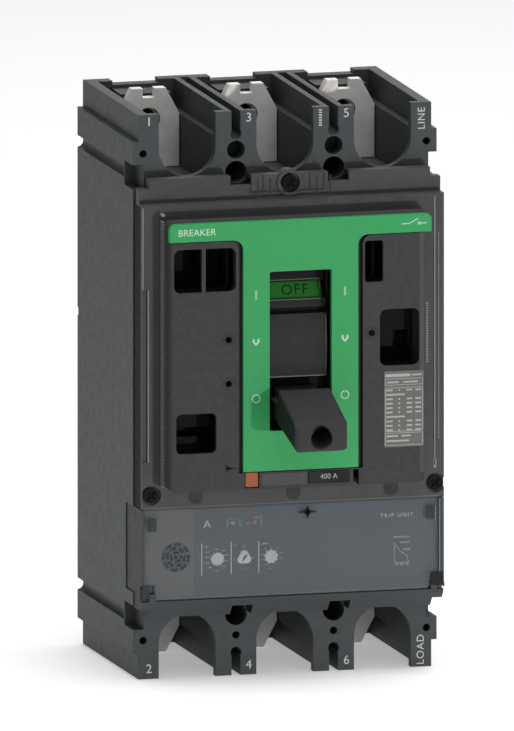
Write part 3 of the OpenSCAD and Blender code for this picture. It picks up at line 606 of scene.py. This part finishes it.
def dotted_ribs(material):
    """Rows of tiny teeth beside the raised panel and along the trip unit's window, painted pale as a
    painted highlight.
    """
    shape = bmesh.new()
    root = SHOULDER_D - ROOT
    rows = ((-61.3, -60.3, -38, 83.5, 1.15, FLANK_D), (60.9, 62.1, 12.6, 40.7, 1.15, SHOULDER_D + 0.5),
            (66.8, 67.3, -22, 72, 1.1, SHOULDER_D + 0.2))
    for x0, x1, z0, z1, pitch, depth in rows:
        for i in range(int((z1 - z0) / pitch)):
            z = z0 + pitch * i
            prism(shape, rounded_line(x0, z, x1, z + 0.62 * pitch, 0.2, 2), root, depth)
    level_teeth, level_pitch = 120, 1.14
    for i in range(level_teeth):
        x = -69 + level_pitch * i
        prism(shape, box_line(x, -48.0, x + 0.6, -47.7), root, SHOULDER_D + 0.25)
    prism(shape, disc_line(-60.8, 85.0, 0.75, 12), root, FLANK_D)
    finish_piece("cover_teeth", shape, material)


def half_round(shape, x0, x1, z0, z1, depth, rise, steps=8):
    """Adds an upright bar with a low rounded front."""
    middle, reach = (x0 + x1) / 2, (x1 - x0) / 2
    arc = [radians(180 * k / steps) for k in range(steps + 1)]
    profile = [(middle + reach * cos(a), depth + rise * sin(a)) for a in arc]
    profile += [(x0, depth - ROOT), (x1, depth - ROOT)]
    ends = [[shape.verts.new((x * MM, -d * MM, z * MM)) for x, d in profile] for z in (z0, z1)]
    for loop in ends:
        shape.faces.new(loop)
    for i in range(len(profile)):
        j = (i + 1) % len(profile)
        shape.faces.new((ends[0][i], ends[0][j], ends[1][j], ends[1][i]))


def cover_lines(bright, soft, dark, black):
    """Raised rims and a low ridge painted pale as painted highlights, panel lines, the screw's ribs and
    blanked screw places on the accessory cover.
    """
    root = SHOULDER_D - ROOT
    # painted highlight: the thin rims are painted pale as lit lines
    rims = [box_line(64.9, -34, 65.4, 87.5), box_line(64.5, -35.2, 65.9, -31),
            box_line(-69.5, 51, -69.1, 88), box_line(-67.1, -27, -66.6, 51)]
    prisms("cover_rims", rims, root, SHOULDER_D + 0.4, bright)
    strip = [box_line(-18.0, -37.6, 2.8, -32.2)]
    prisms("panel_strip", strip, PANEL_D - 0.02, PANEL_D + 0.04, soft)
    # painted highlight: the low ridge is painted paler along the panel's rounded right edge
    shape = bmesh.new()
    half_round(shape, 54.6, 57.0, -34.6, 73.9, PANEL_D, 0.12)
    finish_piece("panel_ridge", shape, soft)
    frames = [box_line(x - 0.3, 90.6, x + 0.3, 99.4) for x in (-16.3, -10.6, 10.8, 17.1)]
    frames += [box_line(-16.6, 90.0, 17.4, 90.6)]
    prisms("screw_ribs", frames, root, SHOULDER_D + 0.3, dark)
    ghosts = [disc_line(pole * POLE_PITCH, -43.4, 3.4) for pole in (-1, 0, 1)]
    prisms("cover_blanks", ghosts, SHOULDER_D - 0.02, SHOULDER_D + 0.04, dark)
    shape = bmesh.new()
    for x, z in ((-33.2, 29.1), (-33.2, 9.2), (32.7, 29.3)):
        ring_prism(shape, x, z, 1.45, 3.0, PANEL_D - 0.02, PANEL_D + 0.05)
    finish_piece("inspection_rings", shape, dark)
    arrow = [[(-31.6, -29.0), (-34.6, -27.2), (-34.6, -30.8)], stroke(-34.5, -29, -28.4, -29, 0.5)]
    prisms("cover_arrow", arrow, PANEL_D - 0.02, PANEL_D + 0.04, black)


def fascia_marks(ink, faint):
    """I, chevron and O beside the handle on both sides, with a generic word and symbol on the bar."""
    back, front = PANEL_D - SUNK, PANEL_D + PRINT
    for side, x in (("left", -20.6), ("right", 20.4)):
        marks = [stroke(x - 1.5, 28.2, x, 26.2, 0.8), stroke(x, 26.2, x + 1.5, 28.2, 0.8)]
        marks += [stroke(x - 1.5, 29.1, x - 0.5, 28.2, 0.45), stroke(x + 1.5, 29.1, x + 0.5, 28.2, 0.45)]
        marks += ring_bars(x, 2.0, 1.75, 0.42)
        prisms(f"position_marks_{side}", marks, back, front, ink)
        bar = [box_line(x - 0.45, 46.9, x + 0.45, 50.9)]
        prisms(f"closed_mark_{side}", bar, back, front, faint)
    lettering("fascia_word", "BREAKER", -56.6, 78.1, PANEL_D, 3.0, ink, align="LEFT")
    symbol = [stroke(46.5, 78, 50.0, 78, 0.4), stroke(50.0, 78, 54.2, 80.2, 0.4),
              stroke(54.6, 78, 58.0, 78, 0.4), stroke(53.9, 77.3, 55.3, 78.7, 0.35),
              stroke(53.9, 78.7, 55.3, 77.3, 0.35)]
    prisms("breaker_symbol", symbol, back, front, ink)


def about_pivot(angle):
    """Turns what was drawn level with the pivot by an angle above level."""
    centre = Vector((0, PIVOT.y, PIVOT.z)) * MM
    turn = Matrix.Rotation(radians(-angle), 4, "X")
    return Matrix.Translation(centre) @ turn @ Matrix.Translation(-centre)


def flag_words(dark, pale):
    """The words on the two flags, which turn with the handle."""
    depth = -PIVOT.y + FLAG_R
    for word, ink, slot, angle in (("OFF", dark, "off_green", OFF_ANGLE), ("ON", pale, "on_red", ON_ANGLE)):
        lettering(f"{word.lower()}_word", word, 0.5, PIVOT.z, depth, 4.6, ink, "handle",
                  move=about_pivot(angle), spacing=1.15)


def arc_skin(shape, x0, x1, r, a0, a1, steps=14):
    """Adds a thin curved strip at radius r about the pivot, between two angles above level."""
    loops = []
    inner = r - 0.15
    for x, reach in ((x0, inner), (x1, inner), (x1, r), (x0, r)):
        spots = [radians(a0 + (a1 - a0) * i / steps) for i in range(steps + 1)]
        loops.append([shape.verts.new((x * MM, (PIVOT.y - reach * cos(a)) * MM,
                                       (PIVOT.z + reach * sin(a)) * MM)) for a in spots])
    for k in range(4):
        a, b = loops[k], loops[(k + 1) % 4]
        for i in range(steps):
            shape.faces.new((a[i], a[i + 1], b[i + 1], b[i]))
    for end in (0, steps):
        shape.faces.new([loop[end] for loop in loops])


def drum_highlights(painted_highlight):
    """Painted highlights: pale lines on the rims of the drum and of the openings above it, which turn with
    the handle.
    """
    shape = bmesh.new()
    skin, dip = 75.05, 73.9         # radii of the drum's outer skin and of the part above it
    arc_skin(shape, 13.0, 13.5, skin, -11, 10.2)
    arc_skin(shape, -13.8, 13.0, skin, -10.9, -10.5, 1)
    arc_skin(shape, -13.8, 11.6, dip, 22.8, 23.1, 1)
    arc_skin(shape, 11.6, 12.0, dip, 19.0, 23.1, 4)
    arc_skin(shape, -13.8, 11.6, dip, 15.8, 16.1, 1)
    finish_piece("drum_highlights", shape, painted_highlight, "handle")


def rating_print(ink):
    """A greeked data table: frames and rows of short bars, no words."""
    x0, z0, x1, z1 = 38.3, -22.7, 56.6, 11.6
    left, right, line = x0 + 0.5, x1 - 0.5, 0.25
    depth = -low("rating_plate").y
    bars = [box_line(x0 + 0.6, z1 - 2.6, x0 + 12, z1 - 1.3),
            box_line(x0 + 12.6, z1 - 2.3, x1 - 0.8, z1 - 1.6)]
    for top, bottom in ((z1 - 3.4, z1 - 6.4), (z1 - 7.4, z0 + 6.9), (z0 + 6.4, z0 + 0.7)):
        bars += [box_line(left, top - line, right, top), box_line(left, bottom, right, bottom + line),
                 box_line(left, bottom, x0 + 0.75, top), box_line(x1 - 0.75, bottom, right, top)]
    # each row is a height and the starts and ends of its bars from the left edge
    rows = [(z1 - 5.4, (1.4, 6.8, 8.8, 15.6)), (z0 + 4.6, (1.2, 6.4, 8.0, 12.4)), (z0 + 2.4, (1.2, 11.6))]
    heading, figures = (1.0, 9.6), (1.0, 4.0, 6.6, 7.4, 10.4, 13.0, 14.4, 17.0)
    for i in range(10):
        rows.append((z1 - 9.0 - i * 2.0, heading if i in (1, 6) else figures))
    for z, spans in rows:
        for start, end in zip(spans[::2], spans[1::2]):
            bars.append(box_line(x0 + start, z, x0 + end, z + 0.75))
    prisms("rating_rows", bars, depth - SUNK, depth + PRINT, ink)
    lettering("amp_number", "400 A", 12.9, -34.6, -low("amp_rating_tab").y, 2.3, ink)


# ---------------------------------------------------------------- trip unit

def star_line(x, z, r_in, r_out, points):
    """A star outline, with one point straight up."""
    spots = [(r_out if k % 2 == 0 else r_in, pi / 2 + pi * k / points) for k in range(2 * points)]
    return [(x + r * cos(a), z + r * sin(a)) for r, a in spots]


def small_bars(x, z, marks, thick):
    """Greeked figures: short level bars, each given by its offset and its width."""
    return [box_line(x + dx - width / 2, z + dz - thick / 2, x + dx + width / 2, z + dz + thick / 2)
            for dx, dz, width in marks]


LABEL_T = 0.12                              # thickness of the label sheet
PORT = (-53.3, -70.9)                       # middle of the test port

# Figures round each dial as (across, up, width) from its middle
DIAL_MARKS = (
    ((-4.4, 3.1, 2.2), (-4.7, 0.7, 2.2), (-4.7, -1.7, 2.2), (-3.5, -3.9, 2.2), (3.1, 3.6, 2.0),
     (3.9, 1.4, 2.2), (3.9, -1.2, 2.2), (3.1, -3.6, 2.2), (-0.3, 4.3, 2.0), (-0.3, -5.5, 1.2)),
    ((0, 4.9, 1.3), (-4.3, -0.8, 0.8), (4.3, -0.3, 0.9), (-1.2, -5.1, 0.6), (0.7, -5.1, 1.2)),
    ((0, 4.3, 0.5), (3.1, 3.8, 1.0), (4.7, 1.3, 1.2), (4.7, -1.1, 1.2), (3.1, -3.6, 1.0), (-2.5, 3.3, 0.8),
     (-3.9, 1.1, 1.2), (-3.9, -1.4, 1.0), (-2.2, -3.6, 0.8), (-0.9, -5.4, 0.8), (0.7, -5.4, 0.8)),
)


def dial_collar(dial, x, z, material):
    """The pale collar that turns with a dial: a trefoil on the middle dial, a star on the others."""
    base, top = FACE_D + LABEL_T, FACE_D + LABEL_T + 0.5
    shape = bmesh.new()
    if dial == "short_time_dial":
        for angle in (90, 210, 330):
            across, up = 1.5 * cos(radians(angle)), 1.5 * sin(radians(angle))
            prism(shape, disc_line(x + across, z + up, 1.9), base, top)
    else:
        points, tip = (12, 3.3) if dial == "long_time_dial" else (9, 3.5)
        prism(shape, star_line(x, z, 2.7, tip, points), base, top)
    finish_piece(f"collar_{dial}", shape, material, dial)


def unit_face_print(label, ink, faint, disc, hole):
    """The label sheet, its divider lines, dial figures, symbols and the curve icon."""
    top = FACE_D + LABEL_T
    prisms("unit_label", [rounded_line(-44.9, -88.6, 66.8, -49.6, 0.6)], FACE_D, top, label)
    lines = [box_line(x - 0.2, -79.8, x + 0.2, -65.3) for x in (-41.4, -27.8, -15.1)]
    figures = small_bars(0, 0, ((-39.3, -66.9, 1.6), (-25.9, -66.8, 0.9), (-12.3, -66.6, 2.8)), 0.8)
    for dial, marks in zip(DIAL_NODES, DIAL_MARKS):
        x, z = ((low(dial).x + high(dial).x) / 2, (low(dial).z + high(dial).z) / 2)
        figures += small_bars(x, z, marks, 0.55)
        dial_collar(dial, x, z, ink)
    # a small A-shaped mark
    lines += [stroke(-40.4, -58.3, -38.9, -55.1, 0.5), stroke(-37.5, -58.2, -38.9, -55.1, 0.5),
              stroke(-39.8, -57.1, -38.1, -57.0, 0.4)]
    # brackets and marks beside the two lamps
    figures += [box_line(-29.7, -58.8, -29.3, -54.5), box_line(-24.0, -58.8, -23.6, -54.6),
                stroke(-28.2, -54.4, -27.5, -55.4, 0.35), stroke(-25.4, -54.4, -26.1, -55.4, 0.35),
                box_line(-17.6, -54.8, -15.0, -54.4), box_line(-14.1, -59.3, -13.8, -53.3)]
    figures += small_bars(-20.6, -57.0, ((0, 0, 0.7), (1.3, 0, 0.7)), 0.6)
    # curve icon: heading and two side notes, a row of figures, axes and curve
    figures += [box_line(46.9, -66.7, 54.4, -66.0), box_line(50.0, -69.2, 54.6, -68.5),
                box_line(51.4, -72.5, 54.8, -71.7)]
    figures += small_bars(50.9, -78.7, ((-2.4, 0, 1.4), (-0.2, 0, 1.6), (2.3, 0, 1.6)), 0.9)
    figures += [box_line(47.1, -78.1, 47.5, -68.7), box_line(47.1, -78.1, 54.3, -77.7),
                stroke(47.8, -69.3, 50.1, -73.0, 0.4), stroke(50.1, -73.0, 53.0, -74.6, 0.4),
                stroke(53.0, -74.6, 54.0, -77.9, 0.4)]
    prisms("unit_lines", lines, top - SUNK, top + PRINT, ink)
    prisms("unit_figures", figures, top - SUNK, top + PRINT, faint)
    lettering("unit_word", "TRIP UNIT", 48.5, -56.5, top, 1.8, ink, spacing=1.35)
    x, z = PORT
    holes = [disc_line(x, z, 0.9, 12)]
    for ring, count in ((2.2, 7), (4.0, 12), (5.8, 16)):
        for k in range(count):
            a = 2 * pi * (k + 0.3 * (k % 2)) / count
            holes.append(disc_line(x + ring * cos(a), z + ring * sin(a), 0.75, 10))
    prisms("test_port", [disc_line(x, z, 6.9, 40)], FACE_D - SUNK, FACE_D + PRINT, disc)
    prisms("test_port_holes", holes, FACE_D, FACE_D + 2 * PRINT, hole)


def window_details(bright, dark, faint):
    """Sealing cross, finger catches, hinge knuckles and the lit right edge of the hinged window."""
    slot, body = "window_clear", "window"
    back, thin = SHOULDER_D - SUNK, SHOULDER_D + 0.05
    catch_x = (-65.1, 63.3)
    cross = [box_line(2.6, -52.9, 10.6, -52.2), box_line(6.2, -55.4, 7.0, -50.0),
             disc_line(6.6, -52.6, 1.5, 20)]
    prisms("seal_cross", cross, back, SHOULDER_D + 0.35, dark, body)
    catches = [rounded_line(x - 2.1, -58.4, x + 2.1, -52.2, 0.8) for x in catch_x]
    prisms("window_catches", catches, back, thin, faint, body)
    ledges = [box_line(x - 1.6, z, x + 1.6, z + 0.5) for x in catch_x for z in (-53.8, -55.6)]
    prisms("catch_ledges", ledges, SHOULDER_D, SHOULDER_D + 0.2, faint, body)
    lit = [box_line(65.4, -59.2, 65.8, -52.9), box_line(67.2, -84.2, 67.7, -49.1)]
    prisms("window_lit_edge", lit, back, thin, bright, body)
    for side, x0, x1, look in (("left", -69.3, -66.3, faint), ("right", 63.4, 69.3, dark)):
        knuckle = [rounded_line(x0, -88.0, x1, -82.4, 0.5)]
        prisms(f"window_knuckle_{side}", knuckle, back, SHOULDER_D + 0.5, look, body)


# ---------------------------------------------------------------- making

camera()
studio()
node_materials()

white_ink = printed("white_ink", WHITE)
pale_ink = printed("pale_ink", PALE)
hole_ink = printed("hole_ink", (0.02, 0.02, 0.02), alpha=0.75)
dark_ink = printed("dark_ink", (0.012, 0.013, 0.013))
flag_ink = printed("flag_ink", (0.006, 0.020, 0.010))
figure_ink = printed("figure_ink", (0.60, 0.62, 0.62), alpha=0.6)
port_ink = printed("port_ink", (0.05, 0.05, 0.05), alpha=0.2)
fascia_ink = printed("fascia_ink", (0.62, 0.80, 0.68), alpha=0.7)
faint_ink = printed("faint_ink", (0.50, 0.80, 0.60), alpha=0.5)
smoke = printed("window_smoke", (0.045, 0.050, 0.053), alpha=0.6)
# painted highlight: pale lines on the drum and the window's lit right edge
painted_highlight = moulded("painted_highlight_moulding", (0.15, 0.15, 0.15), radius=0.15)
# paler than the panel: on the panel ridge this is a painted highlight
ridge = moulded("ridge_moulding", (0.047, 0.047, 0.047), radius=0.4)
# painted highlight: the teeth and the cover's thin rims are painted pale to show as lit glints
glint_paint = moulded("painted_glint_moulding", (0.21, 0.21, 0.215), radius=0.1)
label_paint = sheet_paint("label_grey", LABEL)

case_marks(printed("mould_ink", (0.50, 0.51, 0.51)))
dotted_ribs(glint_paint)
cover_lines(glint_paint, ridge, moulded("blank_moulding", scaled(COVER, 0.7)), dark_ink)
fascia_marks(fascia_ink, faint_ink)
flag_words(flag_ink, white_ink)
drum_highlights(painted_highlight)
rating_print(pale_ink)
unit_face_print(label_paint, white_ink, figure_ink, port_ink, hole_ink)
window_details(painted_highlight, dark_ink, smoke)
